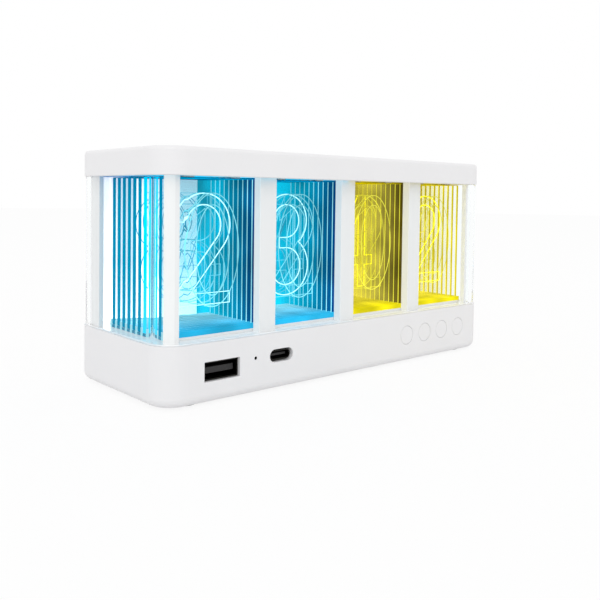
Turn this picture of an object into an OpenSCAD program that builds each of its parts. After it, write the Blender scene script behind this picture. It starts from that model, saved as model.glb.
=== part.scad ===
// Wireless charging alarm clock: a white base and cap with a clear band between them.
// Each of the four bays in the band holds ten clear plates, one numeral to a plate, lit from below.
// Millimetres, +Z up. The origin is on the table under the middle of the body. The front looks along -Y.

/* [Body] */
// Length of the base and the cap
body_l = 162; // [158:0.5:170]
// Depth of the base and the cap, front to back
body_d = 59; // [58:0.5:66]
// Corner radius of the base and the cap, seen from above
corner_r = 9; // [8:0.25:10.5]
// Height of the base
base_h = 19.2; // [18.6:0.1:24]
// Height of the clear band
band_h = 52; // [48:0.5:60]
// Height of the cap
cap_h = 8.8; // [8.4:0.1:12]
// Rounding of the base's lower edge
base_edge_r = 3; // [1:0.25:4]
// Rounding of the cap's upper edge
cap_edge_r = 1.4; // [0.6:0.2:2.4]
// Side wall of the base and the cap
wall_t = 3; // [2.8:0.1:3.4]
// Floor of the base
floor_t = 2.2; // [2:0.1:2.8]
// Roof of the cap
roof_t = 2; // [1.6:0.1:2.2]
// How far the feet stand below the base
foot_h = 0.8; // [0.4:0.1:2]
// Width of a foot
foot_d = 10; // [8:0.5:12]

/* [Clear band] */
// Step from the body's face back to the band
band_step = 0.4; // [0.2:0.1:0.8]
// Wall of the band
band_t = 2.5; // [2:0.1:2.8]
// Gap between the band and the frame inside it
band_gap = 0.4; // [0.3:0.1:0.6]

/* [Frame inside the band] */
// How far the uprights' front stands back from the frame's outline
front_set = 1.3; // [0:0.1:1.6]
// Width of an upright between two bays
divider_w = 7; // [6.4:0.1:7.6]
// Width of a corner upright, seen from the front
corner_w = 5.4; // [4.6:0.1:6.4]
// Wall of a corner upright
post_t = 2; // [1.6:0.1:2.4]
// How far a corner upright reaches round the side
post_return = 2.1; // [1.8:0.1:3]
// Thickness of the web between two bays
web_t = 2; // [1.6:0.1:2.4]
// Wall of the rear panel and of the lead's cover
panel_t = 1.6; // [1.2:0.1:2]

/* [Digit plates] */
// How far a plate runs on behind the uprights, at each side
plate_lap = 1.4; // [0.8:0.05:1.6]
// Thickness of a plate
plate_t = 2; // [1.6:0.1:2.2]
// Distance from one plate to the next
plate_pitch = 3.5; // [3.3:0.05:3.6]
// Distance from the uprights' front back to the first plate
plate_set_back = 5; // [4.6:0.1:5.8]
// How far the tab that a plate stands on is set in from the plate's sides
tab_inset = 2.2; // [1.7:0.1:4.2]
// Height of a comb above the base
comb_h = 2.7; // [2:0.1:6]

/* [Ports and buttons] */
// From the left end of the base to the middle of the cable outlet
outlet_from_end = 22.1; // [19:0.1:25]
// From the cable outlet to the power inlet
inlet_step = 24.3; // [23:0.1:26.9]
// From the cable outlet to the pinhole
pinhole_step = 13.3; // [12:0.1:14.9]
// Width of the pinhole
pinhole_d = 1.2; // [0.6:0.1:1.6]
// From the right end of the base to the last button
button_from_end = 17.85; // [15.2:0.05:20.1]
// Distance from one button to the next
button_pitch = 10.95; // [10.4:0.05:11.4]
// Width of a button
button_d = 7; // [5:0.1:7.6]
// Travel of a button
button_travel = 0.5; // [0.2:0.1:0.6]

/* [Boards and coil] */
// Thickness of the deck that closes the base
deck_t = 3; // [2.8:0.1:3.4]
// Thickness of the liner that closes the cap
liner_t = 2; // [1.8:0.1:2.2]
// Thickness of the main board
board_t = 1.6; // [1.2:0.1:2]
// Outer width of the charging coil
coil_d = 44; // [40:0.5:46]
// Thickness of the charging coil
coil_t = 2; // [1.4:0.1:2.2]
// Thickness of the ferrite sheet under the coil
ferrite_t = 1; // [0.6:0.1:1.2]

/* [Hidden] */
$fn = 64;

// Counts
bays = 4;
plates = 10;
buttons = 4;

// Clearances: a piece in its seat, a sliding piece in its guide, a screw in its hole
seat_gap = 0.15;
slide_gap = 0.2;
screw_gap = 0.1;
// Cutting shapes run past the faces that they cut, and joined shapes run into each other
over = 1;
sink = 0.5;

// Levels
z_rim = foot_h + base_h;
z_band_top = z_rim + band_h;
z_top = z_band_top + cap_h;
z_inside = foot_h + floor_t;
z_deck = z_rim - deck_t;
led_room = 1.2;
z_board_top = z_deck - led_room;
z_board = z_board_top - board_t;
z_liner_top = z_band_top + liner_t;
z_ceiling = z_top - roof_t;

// Inside of the base and the cap
cavity_l = body_l - 2 * wall_t;
cavity_d = body_d - 2 * wall_t;
cavity_r = corner_r - wall_t;
lid_l = cavity_l - 2 * seat_gap;
lid_d = cavity_d - 2 * seat_gap;
lid_r = cavity_r - seat_gap;

// Band and the frame inside it
band_l = body_l - 2 * band_step;
band_d = body_d - 2 * band_step;
band_r = corner_r - band_step;
frame_inset = band_t + band_gap;
frame_l = band_l - 2 * frame_inset;
frame_d = band_d - 2 * frame_inset;
frame_r = band_r - frame_inset;
frame_front = front_set - frame_d / 2;
frame_rear = frame_d / 2;
window_edge = frame_l / 2 - corner_w;
window_w = (2 * window_edge - (bays - 1) * divider_w) / bays;
bay_pitch = window_w + divider_w;

// Places of the ports and the buttons along the front
outlet_x = outlet_from_end - body_l / 2;
inlet_x = outlet_x + inlet_step;
pinhole_x = outlet_x + pinhole_step;
button_x = body_l / 2 - button_from_end - (buttons - 1) * button_pitch;

// Stacks of plates, their combs and the room behind them
plate_w = window_w + 2 * plate_lap;
tab_w = plate_w - 2 * tab_inset;
stack_front = frame_front + plate_set_back;
stack_d = (plates - 1) * plate_pitch + plate_t;
slot_w = plate_t + seat_gap;
comb_end = 1.4;
comb_lip = 0.8;
shoulder_h = 1;
comb_front = stack_front - comb_end;
divider_d = comb_front - 2 * seat_gap - frame_front;
comb_d = stack_d + 2 * comb_end;
plug_w = plate_w - 2 * comb_lip;
plug_d = comb_d - 2 * comb_lip;
z_shoulder = z_rim + shoulder_h;
room_front = comb_front + comb_d + 2 * seat_gap;
wall_front = frame_rear - panel_t;
spine_w = 7;
spine_gap = 1.6;
spine_d = wall_front - room_front - spine_gap;
spine_y = wall_front - spine_d / 2;

// Lights
led_l = 2;
led_d = 1.6;
led_h = 0.8;
led_x = 8;
z_tab = z_board_top + led_h + seat_gap;

// Foam between the plates and the liner
foam_w = 4;
foam_x = 9;
foam_sunk = 1;
foam_h = 1.4;
z_plate_top = z_band_top + foam_sunk - foam_h;

// Tenons of the dividers and pins of the corner uprights
tenon_h = 1.5;
tenon_inset = 2.4;
tenon_l = comb_d - 2 * tenon_inset;
tenon_y = comb_front + tenon_inset;
pin_r = 0.7;
pin_h = 1.5;
strip_r = frame_r - post_t / 2;
pin_from = asin(max(0, (frame_r - post_return) / strip_r));
pin_to = acos(max(-1, (window_edge - (frame_l / 2 - frame_r)) / strip_r));
pin_angle = (pin_from + pin_to) / 2;
pin_x = frame_l / 2 - frame_r + strip_r * cos(pin_angle);
pin_y = frame_front + frame_r - strip_r * sin(pin_angle);

// Screws: radius of shank and head, and the bosses that they go through
screw_r = 1.2;
head_r = 2.4;
head_h = 1.8;
sunk_h = 1.2;
frame_screw_l = 9;
base_screw_l = 10;
board_screw_r = 0.8;
board_head_r = 1.6;
board_head_h = 1;
board_screw_l = 3.8;
tray_boss_r = 4;
deck_boss_r = 3;
board_boss_r = 2;
boss_h = 6.4;
z_boss = z_inside + boss_h;
z_head = z_inside + head_h;
boss_from_button = 14.3;
front_boss_inset = 4.5;
rear_boss_inset = 7;
front_boss_x = button_x - boss_from_button;
front_boss_y = front_boss_inset - cavity_d / 2;
rear_boss_y = cavity_d / 2 - rear_boss_inset;
front_bosses = [for (s = [-1, 1]) [s * front_boss_x, front_boss_y]];
rear_bosses = [for (s = [-1, 1]) [s * bay_pitch, rear_boss_y]];
boss_places = concat(front_bosses, rear_bosses);
board_screw_y = [-8, 6];
board_screw_places = [for (s = [-1, 1]) for (y = board_screw_y) [s * bay_pitch, y]];

// Ribs that the deck lies on
rib_w = 4;
rib_d = 1.6;
end_rib_inset = 5;
rib_from_boss = 8;
end_rib_x = cavity_l / 2 - end_rib_inset;
front_rib_x = [-end_rib_x, -front_boss_x - rib_from_boss, 0, end_rib_x];
rear_rib_x = [for (i = [1:bays]) bay_x(i)];

// Feet
foot_sunk = 1;
foot_inset_x = 13;
foot_inset_y = 9.5;
foot_x = body_l / 2 - foot_inset_x;
foot_y = body_d / 2 - foot_inset_y;

// Main board
board_side_gap = 3;
board_end_gap = 1.9;
board_hole_gap = 0.5;
board_l = cavity_l - 2 * board_side_gap;
board_d = cavity_d - 2 * board_end_gap;

// Cable outlet and power inlet, which hang under the main board
port_recess = 1;
shell_t = 0.3;
port_y = port_recess - body_d / 2;
outlet_w = 13.1;
outlet_h = 5.7;
outlet_l = 14;
outlet_gap = 0.3;
outlet_drop = 0.5;
outlet_z = z_board - outlet_drop - outlet_h / 2;
inlet_w = 8.9;
inlet_h = 3.2;
inlet_l = 7.4;
inlet_gap = 0.6;
inlet_drop = 0.3;
inlet_z = z_board - inlet_drop - inlet_h / 2;
tongue_recess = 1.2;
outlet_tongue_w = 11.1;
outlet_tongue_h = 1.9;
inlet_tongue_w = 6.7;
inlet_tongue_h = 0.7;
stop_l = 3;
leg_w = 1.2;
leg_l = 3;
leg_inset = 0.3;

// Microphone behind the pinhole
mic_r = 1.5;
mic_l = 1.6;
mic_z = z_board - mic_r - seat_gap / 2;

// Buttons and their switches
button_drop = 2.8;
button_z = z_board - button_drop;
flange_lip = 0.9;
flange_r = button_d / 2 + flange_lip;
flange_t = 1;
flange_front = -cavity_d / 2;
stem_r = 1.5;
stem_l = 1.5;
plunger_r = 1.2;
plunger_out = 1.2;
plunger_in = 1.2;
plunger_front = flange_front + flange_t + stem_l;
switch_front = plunger_front + plunger_out;
switch_w = 6;
switch_d = 3.6;
switch_below = 2.9;

// Sounder, cell and chips under the main board
row_from_rear = 16.6;
row_y = board_d / 2 - row_from_rear;
buzzer_place = [-5, row_y];
buzzer_r = 6;
buzzer_h = 6;
sound_hole_r = 0.8;
sound_ring_r = 3;
sound_holes = 6;
cell_from_end = 24;
cell_place = [body_l / 2 - cell_from_end, row_y];
cell_r = 10;
cell_h = 3.2;
holder_t = 1.4;
holder_h = cell_h + holder_t;
controller_from_screw = 11.7;
controller_place = [controller_from_screw - bay_pitch, row_y];
controller_w = 9;
controller_h = 1.4;
crystal_step = 10;
crystal_place = [controller_place[0], row_y + crystal_step];
crystal_r = 1.5;
crystal_l = 8;

// Charger in the cap
coil_gap = 0.2;
coil_hole_d = 20;
ferrite_rim = 2;
z_coil = z_ceiling - coil_gap - coil_t;
z_ferrite = z_coil - ferrite_t;
ferrite_r = coil_d / 2 + ferrite_rim;
pedestal_r = 20;
pedestal_t = 2;
tail_r = 0.5;
tail_y = 3;
tail_lift = 0.1;
charger_t = 1.2;
z_charger = z_coil + tail_lift - charger_t;
charger_end_gap = 4;
charger_rear_gap = 2;
charger_from_ferrite = 10;
charger_front = -10;
charger_low = [charger_end_gap - cavity_l / 2, charger_front];
charger_high = [-ferrite_r - charger_from_ferrite, cavity_d / 2 - charger_rear_gap];
tail_lap = 3;
tail_end_x = charger_high[0] - tail_lap;
charger_post_r = 2;
charger_post_inset = 3;
charger_chip_w = 7;
charger_chip_h = 1;
charger_chip_inset = 18;
charger_chip_y = 6;
charger_chip_place = [charger_low[0] + charger_chip_inset, charger_chip_y];
lead_r = 1.2;
lead_gap = 0.3;
lead_end_gap = 12;
lead_x = lead_end_gap - cavity_l / 2;
lead_y = wall_front - lead_gap - lead_r;

// Hooks inside the cap, which snap under the liner's edge
hook_w = 6;
hook_reach = 0.9;
hook_low = 0.3;
hook_h = 1;
notch_gap = 0.3;

// Ring pressed into the top, where a phone is laid
ring_r = 22;
ring_w = 0.8;
ring_deep = 0.3;

function bay_x(i) = (i - (bays + 1) / 2) * bay_pitch;
function plate_y(k) = stack_front + plate_t / 2 + k * plate_pitch;
function key_x(i) = button_x + (i - 1) * button_pitch;

// Shared shapes

module rounded_rect(l, d, r) {
    square([l - 2 * r, d], center = true);
    square([l, d - 2 * r], center = true);
    for (sx = [-1, 1], sy = [-1, 1]) {
        translate([sx * (l / 2 - r), sy * (d / 2 - r)]) circle(r);
    }
}

module rounded_block(l, d, r, z_low, z_high) {
    translate([0, 0, z_low]) linear_extrude(z_high - z_low) rounded_rect(l, d, r);
}

// Upright ring as high as the clear band, of the given outline and wall
module band_ring(l, d, r, t) {
    difference() {
        rounded_block(l, d, r, z_rim, z_band_top);
        rounded_block(l - 2 * t, d - 2 * t, r - t, z_rim - over, z_band_top + over);
    }
}

// Side view of a wall of the given reach and height, with its lower outer edge rounded
module edge_profile(reach, h, edge_r) {
    square([reach - edge_r, h]);
    translate([0, edge_r]) square([reach, h - edge_r]);
    translate([reach - edge_r, edge_r]) circle(edge_r);
}

// Block with round corners and a rounded lower edge, standing on z = 0
module soft_block(l, d, r, h, edge_r) {
    half_l = l / 2 - r;
    half_d = d / 2 - r;
    translate([-half_l, -half_d, 0]) cube([2 * half_l, 2 * half_d, h]);
    for (turn = [0, 180]) rotate(turn) {
        translate([half_l, half_d, 0]) rotate([90, 0, 0]) {
            linear_extrude(2 * half_d) edge_profile(r, h, edge_r);
        }
        translate([-half_l, half_d, 0]) rotate([90, 0, 90]) {
            linear_extrude(2 * half_l) edge_profile(r, h, edge_r);
        }
        translate([half_l, half_d, 0]) rotate_extrude(angle = 90) edge_profile(r, h, edge_r);
        translate([-half_l, half_d, 0]) rotate(90) rotate_extrude(angle = 90) edge_profile(r, h, edge_r);
    }
}

module stadium(w, h) {
    square([w - h, h], center = true);
    for (s = [-1, 1]) translate([s * (w - h) / 2, 0]) circle(h / 2);
}

// Rod of the given radius along +Y
module rod_y(x, y, z, r, l) {
    translate([x, y, z]) rotate([-90, 0, 0]) cylinder(r = r, h = l);
}

// Box that is centred on x and on z and runs from y along +Y
module bar_y(x, y, z, w, h, l) {
    translate([x - w / 2, y, z - h / 2]) cube([w, l, h]);
}

// Flat shape drawn in X and Z, thickened along +Y
module slab_y(x, y, z, l) {
    translate([x, y + l, z]) rotate([90, 0, 0]) linear_extrude(l) children();
}

module at_corners(x, y) {
    for (sx = [-1, 1], sy = [-1, 1]) translate([sx * x, sy * y, 0]) children();
}

// Base

module tray_shell() {
    difference() {
        translate([0, 0, foot_h]) soft_block(body_l, body_d, corner_r, base_h, base_edge_r);
        rounded_block(cavity_l, cavity_d, cavity_r, z_inside, z_rim + over);
    }
}

module tray_supports() {
    for (p = boss_places) {
        translate([p[0], p[1], z_inside - sink]) cylinder(r = tray_boss_r, h = boss_h + sink);
    }
    rib_h = z_deck - z_inside + sink;
    for (x = front_rib_x) {
        translate([x - rib_w / 2, -cavity_d / 2 - sink, z_inside - sink]) cube([rib_w, rib_d + sink, rib_h]);
    }
    for (x = rear_rib_x) {
        translate([x - rib_w / 2, cavity_d / 2 - rib_d, z_inside - sink]) cube([rib_w, rib_d + sink, rib_h]);
    }
}

module front_holes() {
    y = -body_d / 2 - over;
    l = wall_t + 2 * over;
    bar_y(outlet_x, y, outlet_z, outlet_w + 2 * outlet_gap, outlet_h + 2 * outlet_gap, l);
    slab_y(inlet_x, y, inlet_z, l) stadium(inlet_w + 2 * inlet_gap, inlet_h + 2 * inlet_gap);
    rod_y(pinhole_x, y, mic_z, pinhole_d / 2, l);
    for (i = [1:buttons]) rod_y(key_x(i), y, button_z, button_d / 2 + slide_gap, l);
}

module floor_holes() {
    for (p = boss_places) translate([p[0], p[1], foot_h - over]) {
        cylinder(r = head_r + slide_gap, h = z_head - foot_h + over);
        cylinder(r = screw_r + screw_gap, h = z_boss - foot_h + 2 * over);
    }
    at_corners(foot_x, foot_y) {
        translate([0, 0, foot_h - over]) cylinder(d = foot_d + 2 * seat_gap, h = foot_sunk + over);
    }
    translate([buzzer_place[0], buzzer_place[1], foot_h - over]) {
        cylinder(r = sound_hole_r, h = floor_t + 2 * over);
        for (k = [1:sound_holes]) rotate(k * 360 / sound_holes) {
            translate([sound_ring_r, 0, 0]) cylinder(r = sound_hole_r, h = floor_t + 2 * over);
        }
    }
}

module base_tray() {
    color("whitesmoke") difference() {
        union() {
            tray_shell();
            tray_supports();
        }
        front_holes();
        floor_holes();
    }
}

module rubber_feet() {
    color("dimgray") at_corners(foot_x, foot_y) cylinder(d = foot_d, h = foot_h + foot_sunk);
}

// Slots and holes for the frame's tenons and pins, in the plate at its foot or its head
module frame_sockets(z, toward) {
    slot_h = tenon_h + seat_gap;
    for (x = [-bay_pitch, 0, bay_pitch]) {
        translate([x, tenon_y + tenon_l / 2, z + toward * (slot_h - over) / 2]) {
            cube([web_t + 2 * seat_gap, tenon_l + 2 * seat_gap, slot_h + over], center = true);
        }
    }
    for (s = [-1, 1]) translate([s * pin_x, pin_y, z + toward * (slot_h - over) / 2]) {
        cylinder(r = pin_r + screw_gap, h = slot_h + over, center = true);
    }
}

// Screw with a countersunk head, its head's face at z = 0 and its shank along +Z
module sunk_screw(gap, l) {
    cylinder(r1 = head_r + gap, r2 = screw_r + gap, h = sunk_h);
    cylinder(r = screw_r + gap, h = l);
}

module deck_plate() {
    color("white") difference() {
        union() {
            rounded_block(lid_l, lid_d, lid_r, z_deck, z_rim);
            for (p = boss_places) {
                translate([p[0], p[1], z_boss]) cylinder(r = deck_boss_r, h = z_deck - z_boss + sink);
            }
            for (p = board_screw_places) {
                translate([p[0], p[1], z_board_top]) cylinder(r = board_boss_r, h = led_room + sink);
            }
        }
        for (i = [1:bays]) {
            translate([bay_x(i) - plug_w / 2 - seat_gap, comb_front + comb_lip - seat_gap, z_deck - over]) {
                cube([plug_w + 2 * seat_gap, plug_d + 2 * seat_gap, deck_t + 2 * over]);
            }
            translate([bay_x(i), spine_y, z_deck]) sunk_screw(screw_gap, deck_t + over);
        }
        for (p = boss_places) {
            translate([p[0], p[1], z_boss - over]) cylinder(r = screw_r + screw_gap, h = base_screw_l);
        }
        for (p = board_screw_places) {
            pilot_h = board_screw_l - board_t + screw_gap + over;
            translate([p[0], p[1], z_board_top - over]) cylinder(r = board_screw_r + screw_gap, h = pilot_h);
        }
        translate([lead_x, lead_y, z_deck - over]) cylinder(r = lead_r + seat_gap, h = deck_t + 2 * over);
        frame_sockets(z_rim, -1);
    }
}

module base_screws() {
    color("silver") for (p = boss_places) translate([p[0], p[1], z_head]) {
        translate([0, 0, -head_h]) cylinder(r = head_r, h = head_h);
        cylinder(r = screw_r, h = base_screw_l);
    }
}

// Frame inside the band

module corner_post(side) {
    x_low = side > 0 ? window_edge : -frame_l / 2 - over;
    x_w = frame_l / 2 + over - window_edge;
    color("white") {
        intersection() {
            translate([0, front_set, 0]) band_ring(frame_l, frame_d, frame_r, post_t);
            translate([x_low, frame_front - over, z_rim - over]) {
                cube([x_w, post_return + over, band_h + 2 * over]);
            }
        }
        translate([side * pin_x, pin_y, z_rim - pin_h]) cylinder(r = pin_r, h = band_h + 2 * pin_h);
    }
}

module corner_post_left() {
    corner_post(-1);
}

module corner_post_right() {
    corner_post(1);
}

module divider(x) {
    color("white") translate([x, 0, z_rim]) {
        translate([-divider_w / 2, frame_front, 0]) cube([divider_w, divider_d, band_h]);
        translate([-web_t / 2, frame_front, 0]) cube([web_t, wall_front - seat_gap - frame_front, band_h]);
        translate([-web_t / 2, tenon_y, -tenon_h]) cube([web_t, tenon_l, band_h + 2 * tenon_h]);
    }
}

module divider_left() {
    divider(-bay_pitch);
}

module divider_middle() {
    divider(0);
}

module divider_right() {
    divider(bay_pitch);
}

// Wall behind the bays, with its ends turned forward and a screw column behind the middle of each bay
module rear_panel() {
    color("white") difference() {
        union() {
            difference() {
                band_ring(frame_l, frame_d, frame_r, panel_t);
                translate([-frame_l / 2 - over, -frame_d / 2 - over, z_rim - over]) {
                    cube([frame_l + 2 * over, room_front + frame_d / 2 + over, band_h + 2 * over]);
                }
            }
            for (i = [1:bays]) translate([bay_x(i) - spine_w / 2, wall_front - spine_d, z_rim]) {
                cube([spine_w, spine_d + sink, band_h]);
            }
        }
        pilot_l = frame_screw_l - min(deck_t, liner_t) + screw_gap;
        for (i = [1:bays]) translate([bay_x(i), spine_y, z_rim]) {
            translate([0, 0, -over]) cylinder(r = screw_r + screw_gap, h = pilot_l + over);
            translate([0, 0, band_h - pilot_l]) cylinder(r = screw_r + screw_gap, h = pilot_l + over);
        }
    }
}

// Channel over the charge lead, open towards the rear wall that it stands against
module lead_cover() {
    inside_w = 2 * (lead_r + lead_gap);
    outside_w = inside_w + 2 * panel_t;
    color("white") translate([lead_x, wall_front - inside_w, z_rim]) difference() {
        translate([-outside_w / 2, -panel_t, 0]) cube([outside_w, inside_w + panel_t, band_h]);
        translate([-inside_w / 2, 0, -over]) cube([inside_w, inside_w + over, band_h + 2 * over]);
    }
}

module frame_screws() {
    color("silver") for (i = [1:bays]) translate([bay_x(i), spine_y, z_deck]) sunk_screw(0, frame_screw_l);
}

module clear_sleeve() {
    color("lightcyan", 0.3) band_ring(band_l, band_d, band_r, band_t);
}

// Plates, their combs, the foam on them and the lights under them

module plate_comb(i) {
    color("white") translate([bay_x(i), 0, 0]) difference() {
        union() {
            translate([-plate_w / 2, comb_front, z_rim]) cube([plate_w, comb_d, comb_h]);
            translate([-plug_w / 2, comb_front + comb_lip, z_deck]) cube([plug_w, plug_d, deck_t + sink]);
        }
        for (k = [0:plates - 1]) {
            groove_w = plate_w + 2 * over;
            bar_y(0, plate_y(k) - slot_w / 2, z_shoulder + comb_h / 2, groove_w, comb_h, slot_w);
            bar_y(0, plate_y(k) - slot_w / 2, z_rim, tab_w + 2 * seat_gap, 2 * (deck_t + over), slot_w);
        }
    }
}

module plate_outline() {
    translate([-plate_w / 2, z_shoulder]) square([plate_w, z_plate_top - z_shoulder]);
    translate([-tab_w / 2, z_tab]) square([tab_w, z_shoulder - z_tab + sink]);
}

module digit_plates(i) {
    color("paleturquoise", 0.4) for (k = [0:plates - 1]) {
        slab_y(bay_x(i), plate_y(k) - plate_t / 2, 0, plate_t) plate_outline();
    }
}

module foam_bars(gap, h) {
    for (i = [1:bays], s = [-1, 1]) {
        w = foam_w + 2 * gap;
        translate([bay_x(i) + s * foam_x - w / 2, stack_front - gap, 0]) cube([w, stack_d + 2 * gap, h]);
    }
}

module foam_strips() {
    color("gainsboro") translate([0, 0, z_plate_top]) foam_bars(0, foam_h);
}

module led_rows(i) {
    color("khaki") for (k = [0:plates - 1], s = [-1, 1]) {
        x = bay_x(i) + s * led_x;
        translate([x - led_l / 2, plate_y(k) - led_d / 2, z_board_top]) cube([led_l, led_d, led_h]);
    }
}

// Main board and what hangs under it

module main_board() {
    color("darkgreen") difference() {
        translate([-board_l / 2, -board_d / 2, z_board]) cube([board_l, board_d, board_t]);
        hole_h = board_t + 2 * over;
        for (p = boss_places) {
            translate([p[0], p[1], z_board - over]) cylinder(r = deck_boss_r + board_hole_gap, h = hole_h);
        }
        for (p = board_screw_places) {
            translate([p[0], p[1], z_board - over]) cylinder(r = board_screw_r + screw_gap, h = hole_h);
        }
    }
}

module board_screws() {
    color("silver") for (p = board_screw_places) translate([p[0], p[1], z_board]) {
        translate([0, 0, -board_head_h]) cylinder(r = board_head_r, h = board_head_h);
        cylinder(r = board_screw_r, h = board_screw_l);
    }
}

// Legs that hold a port's shell under the main board
module port_legs(x, w, drop) {
    for (s = [-1, 1]) {
        leg_x = x + s * (w / 2 - leg_w);
        leg_y = -board_d / 2 + leg_inset;
        translate([leg_x - leg_w / 2, leg_y, z_board - drop - shell_t]) cube([leg_w, leg_l, drop + shell_t]);
    }
}

module outlet_shell() {
    color("silver") {
        mouth_w = outlet_w - 2 * shell_t;
        mouth_h = outlet_h - 2 * shell_t;
        difference() {
            bar_y(outlet_x, port_y, outlet_z, outlet_w, outlet_h, outlet_l);
            bar_y(outlet_x, port_y - over, outlet_z, mouth_w, mouth_h, outlet_l + 2 * over);
        }
        port_legs(outlet_x, outlet_w, outlet_drop);
    }
}

module outlet_tongue() {
    stop_w = outlet_w - 2 * (shell_t + seat_gap);
    stop_h = outlet_h - 2 * (shell_t + seat_gap);
    tongue_l = outlet_l - tongue_recess;
    color("black") {
        bar_y(outlet_x, port_y + tongue_recess, outlet_z, outlet_tongue_w, outlet_tongue_h, tongue_l);
        bar_y(outlet_x, port_y + outlet_l - stop_l, outlet_z, stop_w, stop_h, stop_l);
    }
}

module inlet_shell() {
    color("silver") {
        difference() {
            slab_y(inlet_x, port_y, inlet_z, inlet_l) stadium(inlet_w, inlet_h);
            slab_y(inlet_x, port_y - over, inlet_z, inlet_l + 2 * over) {
                stadium(inlet_w - 2 * shell_t, inlet_h - 2 * shell_t);
            }
        }
        port_legs(inlet_x, inlet_w - inlet_h, inlet_drop);
    }
}

module inlet_tongue() {
    stop_w = inlet_w - 2 * (shell_t + seat_gap);
    stop_h = inlet_h - 2 * (shell_t + seat_gap);
    tongue_l = inlet_l - tongue_recess;
    color("black") {
        bar_y(inlet_x, port_y + tongue_recess, inlet_z, inlet_tongue_w, inlet_tongue_h, tongue_l);
        slab_y(inlet_x, port_y + inlet_l - stop_l, inlet_z, stop_l) stadium(stop_w, stop_h);
    }
}

module microphone() {
    color("dimgray") rod_y(pinhole_x, -cavity_d / 2, mic_z, mic_r, mic_l);
}

module button(i) {
    color("whitesmoke") {
        rod_y(key_x(i), -body_d / 2, button_z, button_d / 2, wall_t + sink);
        rod_y(key_x(i), flange_front, button_z, flange_r, flange_t);
        rod_y(key_x(i), flange_front, button_z, stem_r, flange_t + stem_l);
    }
}

module switch_plunger(i) {
    color("black") rod_y(key_x(i), plunger_front, button_z, plunger_r, plunger_out + plunger_in);
}

module key_switch(i) {
    h = z_board - button_z + switch_below;
    color("dimgray") difference() {
        translate([key_x(i) - switch_w / 2, switch_front, z_board - h]) cube([switch_w, switch_d, h]);
        bore_l = plunger_in + button_travel + slide_gap;
        rod_y(key_x(i), switch_front - over, button_z, plunger_r + slide_gap, bore_l + over);
    }
}

module buzzer() {
    color("black") translate([buzzer_place[0], buzzer_place[1], z_board - buzzer_h]) difference() {
        cylinder(r = buzzer_r, h = buzzer_h);
        translate([0, 0, -over]) cylinder(r = sound_hole_r, h = 2 * over);
    }
}

module cell_holder() {
    color("black") translate([cell_place[0], cell_place[1], z_board - holder_h]) difference() {
        cylinder(r = cell_r + seat_gap + holder_t, h = holder_h);
        translate([0, 0, -over]) cylinder(r = cell_r + seat_gap, h = cell_h + over);
    }
}

module coin_cell() {
    color("silver") translate([cell_place[0], cell_place[1], z_board - holder_h]) {
        cylinder(r = cell_r, h = cell_h);
    }
}

module controller_chip() {
    color("black") translate([controller_place[0], controller_place[1], z_board - controller_h / 2]) {
        cube([controller_w, controller_w, controller_h], center = true);
    }
}

module clock_crystal() {
    color("silver") translate([crystal_place[0], crystal_place[1], z_board - crystal_r]) {
        rotate([0, 90, 0]) cylinder(r = crystal_r, h = crystal_l, center = true);
    }
}

// Cap and the charger in it

module cap_hooks() {
    for (i = [1:bays], s = [-1, 1]) {
        d = hook_reach + sink;
        y = s * (cavity_d / 2 - hook_reach / 2 + sink / 2);
        translate([bay_x(i), y, z_band_top + hook_low + hook_h / 2]) cube([hook_w, d, hook_h], center = true);
    }
}

module hook_notches() {
    h = hook_low + hook_h + notch_gap;
    for (i = [1:bays], s = [-1, 1]) {
        d = hook_reach + notch_gap + over;
        y = s * (cavity_d / 2 - hook_reach - notch_gap + d / 2);
        translate([bay_x(i), y, z_band_top + (h - over) / 2]) {
            cube([hook_w + 2 * notch_gap, d, h + over], center = true);
        }
    }
}

module top_cap() {
    color("whitesmoke") {
        difference() {
            translate([0, 0, z_top]) mirror([0, 0, 1]) {
                soft_block(body_l, body_d, corner_r, cap_h, cap_edge_r);
            }
            rounded_block(cavity_l, cavity_d, cavity_r, z_band_top - over, z_ceiling);
            translate([0, 0, z_top - ring_deep]) difference() {
                cylinder(r = ring_r + ring_w / 2, h = ring_deep + over);
                translate([0, 0, -over]) cylinder(r = ring_r - ring_w / 2, h = ring_deep + 3 * over);
            }
        }
        cap_hooks();
    }
}

module charger_posts() {
    h = z_charger - z_liner_top;
    for (x = [charger_low[0] + charger_post_inset, charger_high[0] - charger_post_inset]) {
        for (y = [charger_low[1] + charger_post_inset, charger_high[1] - charger_post_inset]) {
            translate([x, y, z_liner_top - sink]) cylinder(r = charger_post_r, h = h + sink);
        }
    }
}

module ferrite_pedestal() {
    h = z_ferrite - z_liner_top;
    translate([0, 0, z_liner_top - sink]) difference() {
        cylinder(r = pedestal_r, h = h + sink);
        translate([0, 0, -over]) cylinder(r = pedestal_r - pedestal_t, h = h + sink + 2 * over);
    }
}

module cap_liner() {
    color("white") difference() {
        union() {
            rounded_block(lid_l, lid_d, lid_r, z_band_top, z_liner_top);
            charger_posts();
            ferrite_pedestal();
        }
        for (i = [1:bays]) translate([bay_x(i), spine_y, z_liner_top]) mirror([0, 0, 1]) {
            sunk_screw(screw_gap, liner_t + over);
        }
        translate([lead_x, lead_y, z_band_top - over]) {
            cylinder(r = lead_r + seat_gap, h = liner_t + 2 * over);
        }
        translate([0, 0, z_band_top - over]) foam_bars(seat_gap, foam_sunk + over);
        frame_sockets(z_band_top, 1);
        hook_notches();
    }
}

module liner_screws() {
    color("silver") for (i = [1:bays]) translate([bay_x(i), spine_y, z_liner_top]) mirror([0, 0, 1]) {
        sunk_screw(0, frame_screw_l - deck_t + liner_t);
    }
}

module charge_lead() {
    color("black") translate([lead_x, lead_y, z_board_top]) {
        cylinder(r = lead_r, h = z_charger - z_board_top);
    }
}

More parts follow.
